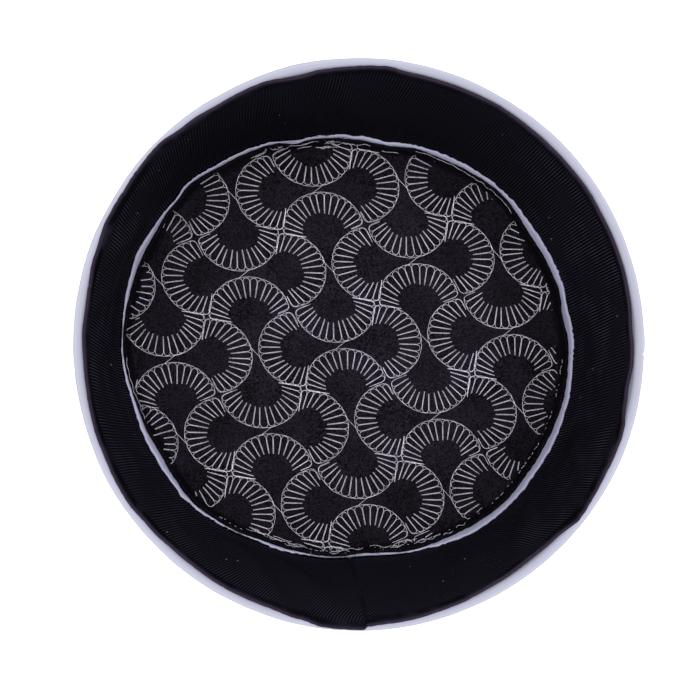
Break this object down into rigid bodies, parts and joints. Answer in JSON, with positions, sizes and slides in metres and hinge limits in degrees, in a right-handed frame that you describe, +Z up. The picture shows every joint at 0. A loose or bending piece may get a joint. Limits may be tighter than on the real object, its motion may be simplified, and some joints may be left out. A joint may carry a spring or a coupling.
{
  "type": "kufi cap",
  "caption": "Round brimless cloth cap lying crown down: padded pale side band, dark twill lining lapped over the rim, flat oval crown with looped embroidery.",
  "frame": {"origin": "under the middle of the crown, on the surface that the cap rests on, crown down", "axes": "+Z up, out of the cap's opening; X and Y level, along the picture's width and height"},
  "size_m": [0.192, 0.192, 0.0863],
  "materials": {
    "band_cloth": "matt white padded cloth with a faint lavender cast",
    "lining_twill": "matt black twill",
    "crown_cloth": "matt black felted cloth"
  },
  "bodies": {
    "root": {"band": "band_cloth", "lining": "lining_twill", "crown": "crown_cloth"}
  },
  "joints": []
}
